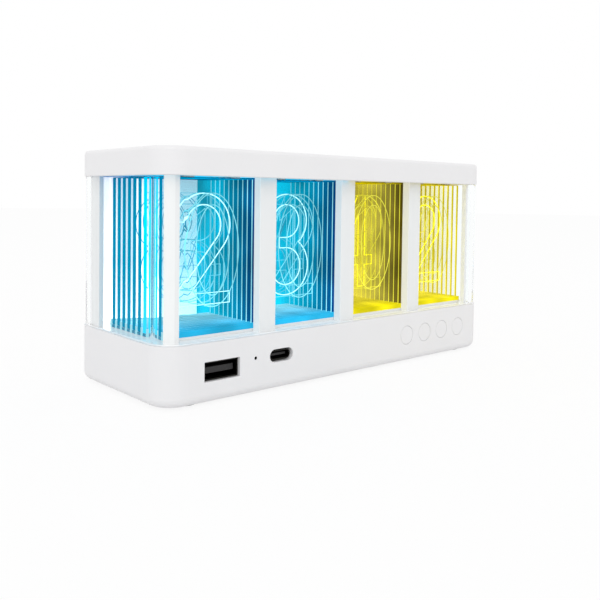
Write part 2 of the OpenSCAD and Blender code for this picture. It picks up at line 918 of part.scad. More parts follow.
module charger_board() {
    size = charger_high - charger_low;
    color("darkgreen") translate([charger_low[0], charger_low[1], z_charger]) {
        cube([size[0], size[1], charger_t]);
    }
}

module charger_chip() {
    z = z_charger + charger_t + charger_chip_h / 2;
    color("black") translate([charger_chip_place[0], charger_chip_place[1], z]) {
        cube([charger_chip_w, charger_chip_w, charger_chip_h], center = true);
    }
}

module ferrite_sheet() {
    color("dimgray") translate([0, 0, z_ferrite]) cylinder(r = ferrite_r, h = ferrite_t);
}

module charge_coil() {
    color("peru") {
        difference() {
            translate([0, 0, z_coil]) cylinder(d = coil_d, h = coil_t);
            translate([0, 0, z_coil - over]) cylinder(d = coil_hole_d, h = coil_t + 2 * over);
        }
        tail_l = -tail_end_x - coil_d / 2 + 2 * sink;
        for (s = [-1, 1]) translate([tail_end_x, s * tail_y, z_coil + tail_lift + tail_r]) {
            rotate([0, 90, 0]) cylinder(r = tail_r, h = tail_l);
        }
    }
}

base_tray();
deck_plate();
corner_post_left();
corner_post_right();
divider_left();
divider_middle();
divider_right();
rear_panel();
lead_cover();
clear_sleeve();
cap_liner();
top_cap();
foam_strips();
main_board();
for (i = [1:bays]) {
    plate_comb(i);
    digit_plates(i);
    led_rows(i);
}
outlet_shell();
outlet_tongue();
inlet_shell();
inlet_tongue();
microphone();
for (i = [1:buttons]) {
    button(i);
    switch_plunger(i);
    key_switch(i);
}
buzzer();
cell_holder();
coin_cell();
controller_chip();
clock_crystal();
charge_lead();
charger_board();
charger_chip();
ferrite_sheet();
charge_coil();
rubber_feet();
base_screws();
frame_screws();
liner_screws();
board_screws();
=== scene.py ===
import math

import bmesh
import bpy
from mathutils import Matrix, Vector


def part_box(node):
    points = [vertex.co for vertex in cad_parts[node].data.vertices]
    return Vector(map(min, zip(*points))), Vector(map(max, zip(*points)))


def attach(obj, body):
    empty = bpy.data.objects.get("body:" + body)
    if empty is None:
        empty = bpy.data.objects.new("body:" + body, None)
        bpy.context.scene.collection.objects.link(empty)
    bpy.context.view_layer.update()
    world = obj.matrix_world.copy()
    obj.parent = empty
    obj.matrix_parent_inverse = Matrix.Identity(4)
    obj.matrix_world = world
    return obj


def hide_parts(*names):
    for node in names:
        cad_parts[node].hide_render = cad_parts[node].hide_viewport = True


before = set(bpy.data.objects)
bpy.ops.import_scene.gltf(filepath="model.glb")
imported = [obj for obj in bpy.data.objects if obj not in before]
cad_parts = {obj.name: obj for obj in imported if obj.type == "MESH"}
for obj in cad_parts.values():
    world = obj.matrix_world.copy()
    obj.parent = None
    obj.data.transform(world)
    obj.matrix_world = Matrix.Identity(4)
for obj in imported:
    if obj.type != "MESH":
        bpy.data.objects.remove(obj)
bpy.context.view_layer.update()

# Base tray: the white ABS lower shell, injection moulded in one piece with a round lower edge.
# It holds the board and the sockets, and four screws from below draw it up to the deck.
MM = 0.001
BODY = "clock_body"
SHELL_WHITE = (0.83, 0.825, 0.835)
SHELL_EDGE = 0.12 * MM
SHARP = math.radians(40)
GRAIN_DETAIL = 3.0
GRAIN_DEEP = 0.02 * MM
GLOSS_RUB = 0.06
BLOTCHES = 38.0
BLOTCH_SHADE = (0.975, 1.015)
scene = bpy.context.scene


def feed(links, given, socket):
    """Gives a socket a plain value, or links another node's output to it."""
    if isinstance(given, bpy.types.NodeSocket):
        links.new(given, socket)
    else:
        socket.default_value = given


def pattern(nodes, links, kind, scale=1.0):
    """A texture of this kind and fineness, which lies on the piece's own coordinates."""
    place = nodes.new("ShaderNodeTexCoord")
    texture = nodes.new("ShaderNodeTex" + kind)
    texture.inputs["Scale"].default_value = scale
    links.new(place.outputs["Object"], texture.inputs["Vector"])
    return texture


def spread(nodes, links, value, low, high, start=0.0, stop=1.0):
    """A node that spreads a value between start and stop from low to high."""
    level = nodes.new("ShaderNodeMapRange")
    for name, number in (("From Min", start), ("From Max", stop), ("To Min", low), ("To Max", high)):
        level.inputs[name].default_value = number
    links.new(value, level.inputs["Value"])
    return level


def reckon(nodes, links, operation, *given):
    """The result of a sum of this kind on numbers or on other nodes' values."""
    step = nodes.new("ShaderNodeMath")
    step.operation = operation
    for value, socket in zip(given, step.inputs):
        feed(links, value, socket)
    return step.outputs["Value"]


def scaled(nodes, links, colour, amount):
    """A colour times an amount."""
    tint = nodes.new("ShaderNodeVectorMath")
    tint.operation = "SCALE"
    links.new(colour, tint.inputs[0])
    feed(links, amount, tint.inputs["Scale"])
    return tint.outputs["Vector"]


def new_group(name, inputs, outputs):
    """A shader group with these sockets, with what it is given and what it gives."""
    group = bpy.data.node_groups.new(name, "ShaderNodeTree")
    for in_out, sockets in (("INPUT", inputs), ("OUTPUT", outputs)):
        for socket, kind in sockets.items():
            group.interface.new_socket(socket, in_out=in_out, socket_type="NodeSocket" + kind)
    given = group.nodes.new("NodeGroupInput")
    result = group.nodes.new("NodeGroupOutput")
    return group, given.outputs, result.inputs


def grain_group():
    """Fine spark-eroded texture that the moulded pieces share: a shade, a gloss and a height."""
    group, given, result = new_group("moulded_grain", {"Tone": "Color", "Gloss": "Float", "Grain": "Float"},
                                     {"Tone": "Color", "Gloss": "Float", "Height": "Float"})
    nodes, links = group.nodes, group.links
    fine = pattern(nodes, links, "Noise")
    fine.inputs["Detail"].default_value = GRAIN_DETAIL
    links.new(given["Grain"], fine.inputs["Scale"])
    broad = pattern(nodes, links, "Noise", BLOTCHES)
    shade = spread(nodes, links, broad.outputs["Fac"], *BLOTCH_SHADE)
    links.new(scaled(nodes, links, given["Tone"], shade.outputs["Result"]), result["Tone"])
    rub = spread(nodes, links, fine.outputs["Fac"], -GLOSS_RUB, GLOSS_RUB)
    links.new(reckon(nodes, links, "ADD", given["Gloss"], rub.outputs["Result"]), result["Gloss"])
    links.new(fine.outputs["Fac"], result["Height"])
    return group


moulded_grain = grain_group()


def shader(name):
    """A new material: its nodes, its links and its shader."""
    material = bpy.data.materials.new(name)
    material.use_nodes = True
    tree = material.node_tree
    return material, tree.nodes, tree.links, tree.nodes["Principled BSDF"]


def add_relief(nodes, links, surface, height, deep, strength=1.0):
    """Raises a surface by a height between 0 and 1, times this depth, and returns how it then faces."""
    bump = nodes.new("ShaderNodeBump")
    bump.inputs["Strength"].default_value = strength
    bump.inputs["Distance"].default_value = deep
    links.new(height, bump.inputs["Height"])
    links.new(bump.outputs["Normal"], surface.inputs["Normal"])
    return bump.outputs["Normal"]


def set_grain(nodes, links, surface, tone, gloss, grain, depth):
    """Dresses a shader with the moulded texture, at this shade, gloss, fineness and depth."""
    texture = nodes.new("ShaderNodeGroup")
    texture.node_tree = moulded_grain
    texture.inputs["Tone"].default_value = (*tone, 1)
    texture.inputs["Gloss"].default_value = gloss
    texture.inputs["Grain"].default_value = grain
    links.new(texture.outputs["Tone"], surface.inputs["Base Color"])
    links.new(texture.outputs["Gloss"], surface.inputs["Roughness"])
    add_relief(nodes, links, surface, texture.outputs["Height"], GRAIN_DEEP, depth)
    return texture


def moulded(name, tone, gloss=0.45, grain=4200.0, depth=0.25):
    """A moulded plastic or rubber of one tone."""
    material, nodes, links, surface = shader(name)
    set_grain(nodes, links, surface, tone, gloss, grain, depth)
    return material


def finish_mesh(shape, name, *materials):
    """Turns a bmesh into an object at the origin, smooth but for its sharp edges."""
    crease = math.radians(35)
    mesh = bpy.data.meshes.new(name)
    shape.to_mesh(mesh)
    shape.free()
    for extra in [a for a in mesh.attributes if a.name == "custom_normal"]:
        mesh.attributes.remove(extra)
    for material in materials:
        mesh.materials.append(material)
    mesh.shade_smooth()
    mesh.set_sharp_from_angle(angle=crease)
    piece = bpy.data.objects.new(name, mesh)
    scene.collection.objects.link(piece)
    return piece


def level_faces(piece):
    """Keeps the flats of a smooth piece flat up to its rounds."""
    level = piece.modifiers.new("level_faces", "WEIGHTED_NORMAL")
    level.keep_sharp = True


def stands_for(piece, node, body=BODY):
    """Puts a piece in the place of a solid."""
    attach(piece, body)
    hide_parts(node)


def soften(node, edge, material, body=BODY, second=None, where=None):
    """A copy of a solid with its sharp edges broken by this much, which stands for it.
    The faces that a test picks may have a second finish."""
    merge = 0.001 * MM
    flat = math.radians(0.4)
    shape = bmesh.new()
    shape.from_mesh(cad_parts[node].data)
    bmesh.ops.remove_doubles(shape, verts=shape.verts, dist=merge)
    bmesh.ops.dissolve_limit(shape, angle_limit=flat, verts=shape.verts, edges=shape.edges)
    broken = [e for e in shape.edges if e.is_manifold and e.calc_face_angle() > SHARP]
    bmesh.ops.bevel(shape, geom=broken, offset=edge, affect="EDGES", segments=2, profile=0.5,
                    material=-1, clamp_overlap=True)
    for face in shape.faces:
        face.normal_update()
        face.material_index = int(second is not None and where(face))
    piece = finish_mesh(shape, node + "_shell", material, *([second] if second else []))
    level_faces(piece)
    stands_for(piece, node, body)
    return piece


shell_white = moulded("white_shell", SHELL_WHITE)
soften("base_tray", SHELL_EDGE, shell_white)

# Feet: four round pads of dark rubber, pressed into shallow recesses under the base.
# Their skin is matt and a little chalky from the mould.
FOOT_BLACK = (0.05, 0.05, 0.052)


def dress(material, *nodes):
    """Gives solids that are shown as they are their finish."""
    for node in nodes:
        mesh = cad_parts[node].data
        mesh.materials.clear()
        mesh.materials.append(material)


dress(moulded("foot_rubber", FOOT_BLACK, gloss=0.8, grain=2600.0, depth=0.5), "rubber_feet")

# Cable outlet and power inlet: stamped shells with a black plated skin, each round a moulded tongue.
# Both are soldered under the board and look out through the front of the base.
BLACK_PLATE = (0.035, 0.033, 0.03)
TONGUE_BLACK = (0.014, 0.013, 0.014)
ROLLED_GRAIN = 900.0
ROLLED_LONG = (0.05, 1.0, 1.0)
ROLLED_RUB = 0.08
ROLLED_SHADE = 0.85


def darker(tone, share):
    """A tone brought down to this share."""
    return [share * c for c in tone]


def blend(nodes, links, factor, first, second):
    """A colour that goes from the first to the second with a factor."""
    mix = nodes.new("ShaderNodeMix")
    mix.data_type = "RGBA"
    links.new(factor, mix.inputs["Factor"])
    feed(links, first, mix.inputs["A"])
    feed(links, second, mix.inputs["B"])
    return mix.outputs["Result"]


def plated(name, tone, gloss):
    """Metal with a fine rolled grain along X."""
    material, nodes, links, surface = shader(name)
    place = nodes.new("ShaderNodeTexCoord")
    stretch = nodes.new("ShaderNodeMapping")
    stretch.inputs["Scale"].default_value = ROLLED_LONG
    links.new(place.outputs["Object"], stretch.inputs["Vector"])
    rolled = nodes.new("ShaderNodeTexNoise")
    rolled.inputs["Scale"].default_value = ROLLED_GRAIN
    links.new(stretch.outputs["Vector"], rolled.inputs["Vector"])
    rub = spread(nodes, links, rolled.outputs["Fac"], gloss - ROLLED_RUB, gloss + ROLLED_RUB)
    links.new(rub.outputs["Result"], surface.inputs["Roughness"])
    shade = blend(nodes, links, rolled.outputs["Fac"], (*darker(tone, ROLLED_SHADE), 1), (*tone, 1))
    links.new(shade, surface.inputs["Base Color"])
    surface.inputs["Metallic"].default_value = 1.0
    return material


dress(plated("black_plated", BLACK_PLATE, 0.35), "outlet_shell", "inlet_shell")
dress(moulded("tongue_plastic", TONGUE_BLACK, gloss=0.5), "outlet_tongue", "inlet_tongue")

# Pinhole: a speck of black woven gauze just inside the hole, in front of the microphone.
# It is punched from a fine acoustic mesh and pressed in from behind.
# Its black is also painted shade: it keeps the hole dark, where the hole's white walls would show grey.
PINHOLE = 1.2 * MM
GAUZE_FIT = 0.01 * MM
GAUZE_T = 0.1 * MM
GAUZE_DEEP = 0.25 * MM
GAUZE_SIDES = 24
GAUZE_SHADE_BLACK = (0.006, 0.006, 0.006)
THREADS = 12000.0
THREAD_DEEP = 0.02 * MM
THREAD_SHADE = 0.4


def woven(name, tone):
    """Matt cloth of threads that cross over and under."""
    material, nodes, links, surface = shader(name)
    threads = pattern(nodes, links, "Checker", THREADS)
    threads.inputs["Color1"].default_value = (*tone, 1)
    threads.inputs["Color2"].default_value = (*darker(tone, THREAD_SHADE), 1)
    links.new(threads.outputs["Color"], surface.inputs["Base Color"])
    add_relief(nodes, links, surface, threads.outputs["Fac"], THREAD_DEEP)
    surface.inputs["Roughness"].default_value = 0.9
    surface.inputs["Specular IOR Level"].default_value = 0.0
    return material


def pinhole_gauze():
    """A round disc of gauze, upright in the pinhole."""
    hole = sum(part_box("microphone"), Vector()) / 2
    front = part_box("base_tray")[0].y
    upright = Matrix.Rotation(math.radians(90), 3, "X")
    shape = bmesh.new()
    bmesh.ops.create_circle(shape, cap_ends=True, segments=GAUZE_SIDES, radius=PINHOLE / 2 - GAUZE_FIT)
    bmesh.ops.rotate(shape, verts=shape.verts, cent=(0, 0, 0), matrix=upright)
    bmesh.ops.translate(shape, verts=shape.verts, vec=(hole.x, front + GAUZE_DEEP, hole.z))
    bmesh.ops.solidify(shape, geom=shape.faces[:], thickness=GAUZE_T)
    gauze = finish_mesh(shape, "pinhole_gauze", woven("gauze_painted_shade", GAUZE_SHADE_BLACK))
    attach(gauze, BODY)


pinhole_gauze()

# Buttons: four white caps, flush with the front, each on the plunger of a switch behind it.
# A flange inside keeps the cap from falling out, and the cap is a close fit in its hole.
KEYS = range(1, 5)
BUTTON_R = 3.5 * MM
BUTTON_FIT = 0.1 * MM
BUTTON_EDGE = 0.08 * MM
SWITCH_BLACK = (0.02, 0.02, 0.021)


def close_fit(piece):
    """Widens the part of a cap that shows, so that only a hairline is left round it."""
    low = Vector([min(v.co[i] for v in piece.data.vertices) for i in range(3)])
    high = Vector([max(v.co[i] for v in piece.data.vertices) for i in range(3)])
    middle = (low + high) / 2
    for vertex in piece.data.vertices:
        out = vertex.co - middle
        out.y = 0
        if out.length < BUTTON_R + BUTTON_FIT:
            vertex.co += out * BUTTON_FIT / BUTTON_R


switch_black = moulded("switch_plastic", SWITCH_BLACK, gloss=0.5)
for key in KEYS:
    close_fit(soften(f"button_{key}", BUTTON_EDGE, shell_white, f"push_button_{key}"))
    dress(switch_black, f"switch_plunger_{key}", f"key_switch_{key}")

# Main board and charger board: glass fibre laminate under green solder mask, etched and drilled.
# Chips, sounder, microphone and cell holder are black mouldings soldered to them.
# Plated steel screws hold the boards and the frame, and a sheathed lead joins the two boards.
MASK_GREEN = (0.012, 0.10, 0.045)
MASK_PALE = (0.016, 0.13, 0.06)
TRACK_GREEN = (0.05, 0.22, 0.09)
TRACKS = 160.0
TRACK_W = 0.03
TRACK_DEEP = 0.03 * MM
BRIGHT_PLATE = (0.62, 0.62, 0.64)
LEAD_BLACK = (0.025, 0.025, 0.026)


def laminate(name):
    """Solder mask over etched tracks, which show through as paler runs."""
    material, nodes, links, surface = shader(name)
    tracks = pattern(nodes, links, "Brick", TRACKS)
    tracks.inputs["Mortar Size"].default_value = TRACK_W
    for socket, tone in (("Color1", MASK_GREEN), ("Color2", MASK_PALE), ("Mortar", TRACK_GREEN)):
        tracks.inputs[socket].default_value = (*tone, 1)
    links.new(tracks.outputs["Color"], surface.inputs["Base Color"])
    add_relief(nodes, links, surface, tracks.outputs["Fac"], TRACK_DEEP)
    surface.inputs["Roughness"].default_value = 0.35
    return material


dress(laminate("circuit_board"), "main_board", "charger_board")
dress(switch_black, "controller_chip", "charger_chip", "buzzer", "microphone", "cell_holder")
bright_plated = plated("bright_plated", BRIGHT_PLATE, 0.3)
dress(bright_plated, "coin_cell", "clock_crystal")
dress(bright_plated, "base_screws", "frame_screws", "liner_screws", "board_screws")
dress(moulded("lead_sheath", LEAD_BLACK, gloss=0.6), "charge_lead")

# Lights: a pair of small coloured lamps under each plate, two bays of blue and two of yellow.
# Each is a chip cast in clear resin and soldered to the main board, and it shines up into its plate's foot.
BAYS = range(1, 5)
BLUE = "blue"
YELLOW = "yellow"
BAY_LIGHT = {1: BLUE, 2: BLUE, 3: YELLOW, 4: YELLOW}
LAMP = {BLUE: (0.05, 0.55, 1.0), YELLOW: (1.0, 0.8, 0.03)}
LAMP_CELLS = 900.0
LAMP_PALE = 0.6
LAMP_GLOW = 3.0


def pale(tone, share):
    """A tone let down with white, by this share."""
    return [share + (1 - share) * c for c in tone]


def lamp_resin(name, colour):
    """Clear resin over a lamp, which shines paler in the middle of its cells."""
    material, nodes, links, surface = shader(name)
    cells = pattern(nodes, links, "Voronoi", LAMP_CELLS)
    glow = blend(nodes, links, cells.outputs["Distance"], (*pale(colour, LAMP_PALE), 1), (*colour, 1))
    links.new(glow, surface.inputs["Emission Color"])
    surface.inputs["Base Color"].default_value = (*colour, 1)
    surface.inputs["Emission Strength"].default_value = LAMP_GLOW
    return material


lamp_finish = {light: lamp_resin(f"{light}_lamp", LAMP[light]) for light in LAMP}
for bay in BAYS:
    dress(lamp_finish[BAY_LIGHT[bay]], f"led_rows_{bay}")

# Deck, liner and combs: smooth white mouldings inside the clock.
# The deck closes the base, each comb holds ten plates by their feet, and the liner closes the cap.
# The liner's underside and the combs' tops have the light of the bays between them painted on as a colour and
# a glow.
# The grey deck carries a painted glow as well.
FRAME_WHITE = (0.83, 0.828, 0.833)
FRAME_GLOSS = 0.45
SMOOTH_GRAIN = (5200.0, 0.12)
STRAY = 0.03
DECK_GREY = (0.7, 0.7, 0.7)
DECK_LIGHT = 0.16
BAYS_FRONT = -24 * MM
BAYS_REAR = 24 * MM
FOOT_LOW = 22 * MM
FOOT_HIGH = 42 * MM
FOOT_LIGHT = 1.45
PATCHES = 70.0
PATCH_RANGE = (0.3, 0.7)


def axes(nodes, links):
    """Where a point of a piece lies, as X, Y and Z."""
    place = nodes.new("ShaderNodeTexCoord")
    split = nodes.new("ShaderNodeSeparateXYZ")
    links.new(place.outputs["Object"], split.inputs["Vector"])
    return split.outputs


def bay_light_group():
    """Painted light inside a bay: blue at the left of the clock, yellow at the right, from front to rear.
    It stands for the light of the lamps below, so it is stronger near the foot."""
    tones = dict.fromkeys(("Blue Front", "Blue Rear", "Yellow Front", "Yellow Rear"), "Color")
    group, given, result = new_group("bay_light", {**tones, "Patch": "Float"}, {"Glow": "Color"})
    nodes, links = group.nodes, group.links
    at = axes(nodes, links)
    depth = spread(nodes, links, at["Y"], 0.0, 1.0, BAYS_FRONT, BAYS_REAR)
    depth.interpolation_type = "SMOOTHSTEP"
    back = depth.outputs["Result"]
    blue = blend(nodes, links, back, given["Blue Front"], given["Blue Rear"])
    yellow = blend(nodes, links, back, given["Yellow Front"], given["Yellow Rear"])
    right = reckon(nodes, links, "GREATER_THAN", at["X"], 0.0)
    both = blend(nodes, links, right, blue, yellow)
    cloud = pattern(nodes, links, "Noise", PATCHES)
    cloud.inputs["Detail"].default_value = 1.0
    patch = spread(nodes, links, cloud.outputs["Fac"], -1.0, 1.0, *PATCH_RANGE)
    foot = spread(nodes, links, at["Z"], FOOT_LIGHT, 1.0, FOOT_LOW, FOOT_HIGH)
    shade = reckon(nodes, links, "MULTIPLY_ADD", patch.outputs["Result"], given["Patch"],
                   foot.outputs["Result"])
    links.new(scaled(nodes, links, both, shade), result["Glow"])
    return group


bay_light = bay_light_group()


def add_bay_light(nodes, blue, yellow, patch):
    """The bays' light as a colour, from front and rear tones of the blue bays and of the yellow ones."""
    glow = nodes.new("ShaderNodeGroup")
    glow.node_tree = bay_light
    for light, tones in (("Blue", blue), ("Yellow", yellow)):
        for end, tone in zip((" Front", " Rear"), tones):
            glow.inputs[light + end].default_value = (*tone, 1)
    glow.inputs["Patch"].default_value = patch
    return glow.outputs["Glow"]


def lit_past(name, axis, side, level, blue, yellow, dark=0.1, patch=0.4):
    """White, but past a level on one axis the bays' light is painted on, as a colour and a glow, given as
    front and rear tones.
    """
    material, nodes, links, surface = shader(name)
    grain = set_grain(nodes, links, surface, FRAME_WHITE, FRAME_GLOSS, *SMOOTH_GRAIN)
    surface.inputs["Specular IOR Level"].default_value = 0.1
    past = reckon(nodes, links, side, axes(nodes, links)[axis], level)
    glow = add_bay_light(nodes, blue, yellow, patch)
    coat = blend(nodes, links, past, grain.outputs["Tone"], scaled(nodes, links, glow, dark))
    links.new(coat, surface.inputs["Base Color"])
    lit = blend(nodes, links, past, (STRAY, STRAY, STRAY, 1), glow)
    links.new(lit, surface.inputs["Emission Color"])
    surface.inputs["Emission Strength"].default_value = 1.0
    return material


def inner_white(name, gloss, light=STRAY, tone=FRAME_WHITE):
    """White inside the clock, with a faint painted glow that stands for the light that strays there."""
    material, nodes, links, surface = shader(name)
    set_grain(nodes, links, surface, tone, gloss, *SMOOTH_GRAIN)
    surface.inputs["Emission Color"].default_value = (1, 1, 1, 1)
    surface.inputs["Emission Strength"].default_value = light
    return material


frame_white = inner_white("white_frame", FRAME_GLOSS)
dress(inner_white("white_deck", 0.1, light=DECK_LIGHT, tone=DECK_GREY), "deck_plate")

LEVEL_EDGE = 0.02 * MM
LINER_GLOW_TONES = (((0, 0.55, 0.85), (0, 0.10, 0.34)), ((0.50, 0.40, 0), (0.16, 0.12, 0)))
liner_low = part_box("cap_liner")[0].z
dress(lit_past("liner_lit", "Z", "LESS_THAN", liner_low + LEVEL_EDGE, *LINER_GLOW_TONES), "cap_liner")

PLATE_T = 2.0 * MM
PLATE_PITCH = 3.5 * MM
SHOULDER = 1.0 * MM
COMB_EDGE = 0.12 * MM
COMB_GLOW_TONES = (((0.01, 0.30, 0.52), (0.30, 0.58, 0.66)), ((0.56, 0.48, 0), (0.56, 0.50, 0.08)))
SLOT_LIGHT = {BLUE: (0.0, 0.20, 0.34), YELLOW: (0.72, 0.60, 0.0)}
SLOT_BETWEEN_GLOW = {BLUE: (0.30, 0.62, 0.70), YELLOW: (0.86, 0.82, 0.45)}
SLOT_GLOW = 0.25
ASLANT = 0.3


def slot_ends(name, start, tone, between):
    """The end of a comb with painted light: the light of a plate's foot in each slot along Y, and a paler
    glow tinted by it between.
    """
    material, nodes, links, surface = shader(name)
    grain = set_grain(nodes, links, surface, between, 0.3, *SMOOTH_GRAIN)
    turn = spread(nodes, links, axes(nodes, links)["Y"], 0.0, 1.0, start, start + PLATE_PITCH)
    turn.clamp = False
    along = reckon(nodes, links, "FRACT", turn.outputs["Result"])
    inside = reckon(nodes, links, "LESS_THAN", along, PLATE_T / PLATE_PITCH)
    coat = blend(nodes, links, inside, grain.outputs["Tone"], (*tone, 1))
    links.new(coat, surface.inputs["Base Color"])
    links.new(coat, surface.inputs["Emission Color"])
    surface.inputs["Emission Strength"].default_value = SLOT_GLOW
    return material


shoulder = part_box("base_tray")[1].z + SHOULDER
plates_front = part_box("digit_plates_1")[0].y
comb_lit = lit_past("comb_lit", "Z", "GREATER_THAN", shoulder, *COMB_GLOW_TONES)
comb_ends = {light: slot_ends(f"{light}_comb_end", plates_front, SLOT_LIGHT[light], SLOT_BETWEEN_GLOW[light])
             for light in LAMP}
for bay in BAYS:
    soften(f"plate_comb_{bay}", COMB_EDGE, comb_lit, second=comb_ends[BAY_LIGHT[bay]],
           where=lambda face: abs(face.normal.x) > ASLANT)

# Digit plates: ten clear cast acrylic plates in each bay, laser cut, with one numeral engraved in each.
# Each stands with a tab in its comb's slot, and the foam above presses on its head.
# Light from the foot runs up inside a plate and shows at its edges and in the engraving, where it is painted
# on as a colour and a glow.
PLATES = range(10)
LIT = {1: 2, 2: 3, 3: 4, 4: 2}
PLATE_EDGE = 0.25 * MM
TAB_INSET = 2.2 * MM
TALL = 37.0 * MM
HALF = 10.6 * MM
ZERO_HALF = 10.3 * MM
STROKE = 3.8 * MM
NUMERAL_FOOT = 29.6 * MM
SMALL = (TALL + STROKE) / 2 - HALF
LOW = (0.0, HALF)
HIGH = (0.0, TALL - SMALL)
ARC_STEP = 6


def arc(centre, radius, start, stop):
    """Points along a round stretch from one angle to another, in degrees. A radius may be a pair."""
    across, up = radius if isinstance(radius, tuple) else (radius, radius)
    steps = max(2, round(abs(stop - start) / ARC_STEP))
    angles = [math.radians(start + (stop - start) * i / steps) for i in range(steps + 1)]
    return [(centre[0] + across * math.cos(a), centre[1] + up * math.sin(a)) for a in angles]


def ring(centre, radius):
    """Points all round a circle or an ellipse."""
    return arc(centre, radius, 0, 360)[:-1]


def bowl_angles():
    """Where the lower bowl's outline and the upper one's meet, as angles about each centre."""
    apart = HIGH[1] - LOW[1]
    rise = (apart**2 + HALF**2 - SMALL**2) / (2 * apart)
    return math.degrees(math.asin(rise / HALF)), -math.degrees(math.asin((apart - rise) / SMALL))


# Each numeral is a list of closed outlines in X and Z, from the middle of its foot, with angles in degrees.
def zero():
    middle = (0.0, TALL / 2)
    return [ring(middle, (ZERO_HALF, TALL / 2)), ring(middle, (ZERO_HALF - STROKE, TALL / 2 - STROKE))]


def one():
    stem = 2.4 * MM
    flag = (-7.6 * MM, 31.4 * MM)
    notch = 1.3
    neck = TALL - STROKE * notch
    return [[(stem, 0), (stem, TALL), (stem - STROKE, TALL), flag, (flag[0], flag[1] - STROKE),
             (stem - STROKE, neck), (stem - STROKE, 0)]]


def two():
    tip = 172
    lean = 40
    top = (0.0, TALL - HALF)
    outer = arc(top, HALF, tip, -lean)
    inner = arc(top, HALF - STROKE, -lean, tip)
    slope = math.tan(math.radians(lean))
    knee = (outer[-1][0] - (outer[-1][1] - STROKE) * slope, STROKE)
    heel = (-HALF, inner[0][1] - (inner[0][0] + HALF) / slope)
    return [outer + [knee, (HALF, STROKE), (HALF, 0), (-HALF, 0), heel] + inner]


def three():
    tip = 168
    bar = -3.2 * MM
    low_turn, high_turn = bowl_angles()
    inner_low = arc(LOW, HALF - STROKE, -tip, 90)
    inner_high = arc(HIGH, SMALL - STROKE, -90, tip)
    outline = arc(HIGH, SMALL, tip, high_turn) + arc(LOW, HALF, low_turn, -tip) + inner_low
    return [outline + [(bar, inner_low[-1][1]), (bar, inner_high[0][1])] + inner_high]


def four():
    stem = 6.2 * MM
    bar = 8.8 * MM
    peak = 1.8 * MM
    over = bar + STROKE
    back = stem - STROKE
    outer = [(stem, 0), (stem, bar), (HALF, bar), (HALF, over), (stem, over), (stem, TALL),
             (peak, TALL), (-HALF, over), (-HALF, bar), (back, bar), (back, 0)]
    inner = [(back, over), (back, TALL - 2 * STROKE), (-HALF + STROKE, over)]
    return [outer, inner]


def five():
    back = -9.0 * MM
    tip = 8.8 * MM
    chin = 17.2 * MM
    slant = 0.6 * MM
    tail = -165
    inner_start = 135
    outer_end = 112
    low_neck = back + STROKE * 0.8
    high_neck = back + STROKE * 0.9
    inner = arc(LOW, HALF - STROKE, inner_start, tail)
    outer = arc(LOW, HALF, tail, outer_end)
    top = [(tip, TALL), (back, TALL), (back - slant, chin), (low_neck, chin)]
    return [top + inner + outer + [(high_neck, TALL - STROKE), (tip, TALL - STROKE)]]


def six():
    hub = (8.0 * MM, HALF)
    outer = (HALF + hub[0], TALL - HALF)
    inner = (outer[0] - STROKE, outer[1] - STROKE)
    tip = 98
    join = 155
    close = -174
    meet = arc(hub, inner, tip, join)
    turn = math.degrees(math.atan2(meet[-1][1] - LOW[1], meet[-1][0] - LOW[0]))
    return [arc(hub, outer, 180, tip) + meet + arc(LOW, HALF, turn, close), ring(LOW, HALF - STROKE)]


def seven():
    foot = -5.6 * MM
    foot_end = foot + STROKE * 1.1
    inner_corner = HALF - STROKE * 1.25
    return [[(-HALF, TALL), (HALF, TALL), (HALF, TALL - STROKE), (foot_end, 0), (foot, 0),
             (inner_corner, TALL - STROKE), (-HALF, TALL - STROKE)]]


def eight():
    low_turn, high_turn = bowl_angles()
    outline = arc(HIGH, SMALL, high_turn, 180 - high_turn) + arc(LOW, HALF, 180 - low_turn, 360 + low_turn)
    return [outline, ring(HIGH, SMALL - STROKE), ring(LOW, HALF - STROKE)]


def nine():
    return [[(-u, TALL - v) for u, v in outline] for outline in six()]


NUMERALS = (zero, one, two, three, four, five, six, seven, eight, nine)


def engraving(numeral, width, slot):
    """One numeral's outlines as fine round lines, upright in X and Z, for one of the plates' finishes."""
    curve = bpy.data.curves.new("engraving", "CURVE")
    curve.dimensions = "3D"
    curve.bevel_depth = width / 2
    curve.bevel_resolution = 1
    for outline in NUMERALS[numeral]():
        line = curve.splines.new("POLY")
        line.points.add(len(outline) - 1)
        line.use_cyclic_u = True
        for point, (u, v) in zip(line.points, outline):
            point.co = (u, 0, v, 1)
    holder = bpy.data.objects.new("engraving", curve)
    mesh = bpy.data.meshes.new_from_object(holder)
    for face in mesh.polygons:
        face.material_index = slot
    bpy.data.objects.remove(holder)
    bpy.data.curves.remove(curve)
    return mesh


CLEAR, EDGE, EDGE_LIT, FAR_EDGE, RIM, LINE, LINE_LIT = range(7)
LINE_W = 0.31 * MM
LINE_LIT_W = {BLUE: 0.38 * MM, YELLOW: 0.46 * MM}
FACING = 0.99
dim_lines = {n: engraving(n, LINE_W, LINE) for n in PLATES}
lit_lines = {bay: engraving(LIT[bay], LINE_LIT_W[BAY_LIGHT[bay]], LINE_LIT) for bay in BAYS}


